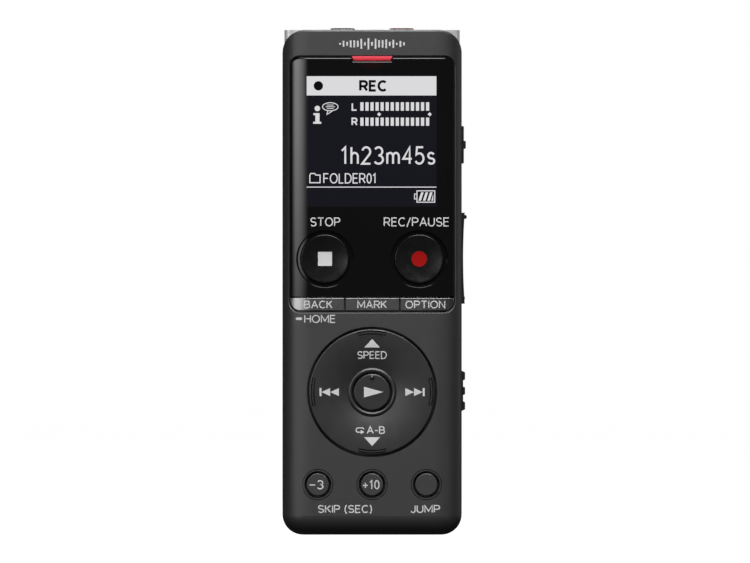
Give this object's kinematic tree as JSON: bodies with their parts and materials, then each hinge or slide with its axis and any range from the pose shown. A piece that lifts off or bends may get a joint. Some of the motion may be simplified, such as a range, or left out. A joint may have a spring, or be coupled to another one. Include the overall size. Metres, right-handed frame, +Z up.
{
  "type": "portable field recorder",
  "caption": "Slim pocket field recorder with a display window, push buttons, a rocking control ring, corner microphones, a card door and a slide-out data plug.",
  "frame": {"origin": "in the plane of the bottom face, under the middle of the case's width and depth", "axes": "+Z up along the case, -Y out of the display, +X to the right of the display"},
  "size_m": [0.0374, 0.0122, 0.1029],
  "materials": {
    "cover_black": "satin black, fine metallic",
    "rear_black": "fine texture",
    "frame_grey": "plain moulded",
    "window_black": "gloss",
    "foam_black": "closed foam",
    "lens_red": "translucent red",
    "cap_silver": "satin",
    "mesh_dark": "woven dust mesh",
    "steel": "plated",
    "rubber_grey": "silicone",
    "connector_black": "moulded",
    "collar_red": "moulded",
    "contact_gold": "gold plated",
    "button_black": "semi gloss",
    "ring_black": "satin",
    "key_grey": "metallic grey",
    "side_black": "semi gloss",
    "board_green": "solder mask",
    "display_glass": "polished",
    "flex_amber": "film",
    "chip_black": "moulded",
    "cell_silver": "foil pouch",
    "led_white": "moulded",
    "screw_black": "black oxide",
    "legend_white": "printed ink",
    "legend_red": "printed ink",
    "display_lit": "lit display dots"
  },
  "bodies": {
    "root": {"front_cover": "cover_black", "rear_cover": "rear_black", "inner_frame": "frame_grey", "display_window": "window_black", "window_tape": "foam_black", "indicator_lens": "lens_red", "mic_cap_left": "cap_silver", "mic_cap_right": "cap_silver", "mic_mesh_left": "mesh_dark", "mic_mesh_right": "mesh_dark", "mic_capsule_left": "steel", "mic_capsule_right": "steel", "mic_capsule_center": "steel", "mic_boot_left": "rubber_grey", "mic_boot_right": "rubber_grey", "headphone_jack": "connector_black", "microphone_jack": "connector_black", "headphone_collar": "connector_black", "microphone_collar": "collar_red", "jack_contacts": "contact_gold", "card_door_pin": "steel", "keypad_membrane": "rubber_grey", "dome_sheet": "steel", "main_board": "board_green", "oled_module": "display_glass", "oled_flex": "flex_amber", "board_chips": "chip_black", "shield_can": "steel", "battery_cell": "cell_silver", "battery_tape": "foam_black", "battery_board": "board_green", "speaker_driver": "chip_black", "speaker_gasket": "foam_black", "speaker_mesh": "mesh_dark", "card_socket": "steel", "volume_switches": "steel", "hold_slide_switch": "steel", "led_chip": "led_white", "case_screws": "screw_black"},
    "stop": {"stop_button": "button_black"},
    "record": {"record_button": "button_black"},
    "play": {"play_button": "ring_black"},
    "back": {"back_button": "key_grey"},
    "mark": {"mark_button": "key_grey"},
    "option": {"option_button": "key_grey"},
    "skip_back": {"skip_back_button": "cover_black"},
    "skip_forward": {"skip_forward_button": "cover_black"},
    "jump": {"jump_button": "cover_black"},
    "ring_tilt": {"ring_carrier": "frame_grey"},
    "ring": {"control_ring": "ring_black"},
    "volume": {"volume_rocker": "side_black"},
    "hold": {"hold_switch": "side_black"},
    "door": {"card_door": "side_black"},
    "usb": {"usb_lever": "side_black", "usb_carriage": "connector_black", "usb_plug_shell": "steel", "usb_plug_core": "connector_black", "usb_plug_contacts": "contact_gold"}
  },
  "joints": [
    {"name": "stop_press", "type": "slide", "parent": "root", "child": "stop", "axis": [0, 1, 0], "range_m": [0, 0.00035], "stiffness_N_per_m": 600},
    {"name": "record_press", "type": "slide", "parent": "root", "child": "record", "axis": [0, 1, 0], "range_m": [0, 0.00035], "stiffness_N_per_m": 600},
    {"name": "play_press", "type": "slide", "parent": "root", "child": "play", "axis": [0, 1, 0], "range_m": [0, 0.00035], "stiffness_N_per_m": 600},
    {"name": "back_press", "type": "slide", "parent": "root", "child": "back", "axis": [0, 1, 0], "range_m": [0, 0.00035], "stiffness_N_per_m": 600},
    {"name": "mark_press", "type": "slide", "parent": "root", "child": "mark", "axis": [0, 1, 0], "range_m": [0, 0.00035], "stiffness_N_per_m": 600},
    {"name": "option_press", "type": "slide", "parent": "root", "child": "option", "axis": [0, 1, 0], "range_m": [0, 0.00035], "stiffness_N_per_m": 600},
    {"name": "skip_back_press", "type": "slide", "parent": "root", "child": "skip_back", "axis": [0, 1, 0], "range_m": [0, 0.00035], "stiffness_N_per_m": 600},
    {"name": "skip_forward_press", "type": "slide", "parent": "root", "child": "skip_forward", "axis": [0, 1, 0], "range_m": [0, 0.00035], "stiffness_N_per_m": 600},
    {"name": "jump_press", "type": "slide", "parent": "root", "child": "jump", "axis": [0, 1, 0], "range_m": [0, 0.00035], "stiffness_N_per_m": 600},
    {"name": "ring_up_down", "type": "hinge", "parent": "root", "child": "ring_tilt", "pos_m": [0, -0.0039, 0.029], "axis": [1, 0, 0], "range_deg": [-1, 1], "stiffness_Nm_per_rad": 0.4},
    {"name": "ring_left_right", "type": "hinge", "parent": "ring_tilt", "child": "ring", "pos_m": [0, -0.0039, 0.029], "axis": [0, 0, 1], "range_deg": [-1, 1], "stiffness_Nm_per_rad": 0.4},
    {"name": "volume_rock", "type": "hinge", "parent": "root", "child": "volume", "pos_m": [0.0166, 0.001, 0.0792], "axis": [0, 1, 0], "range_deg": [-3, 3], "stiffness_Nm_per_rad": 0.06},
    {"name": "hold_slide", "type": "slide", "parent": "root", "child": "hold", "axis": [0, 0, 1], "range_m": [-0.0013, 0.0013]},
    {"name": "card_door_swing", "type": "hinge", "parent": "root", "child": "door", "pos_m": [0.01775, 0.0009, 0.048], "axis": [0, 1, 0], "range_deg": [0, 100]},
    {"name": "usb_slide", "type": "slide", "parent": "root", "child": "usb", "axis": [0, 0, -1], "range_m": [0, 0.013]}
  ]
}
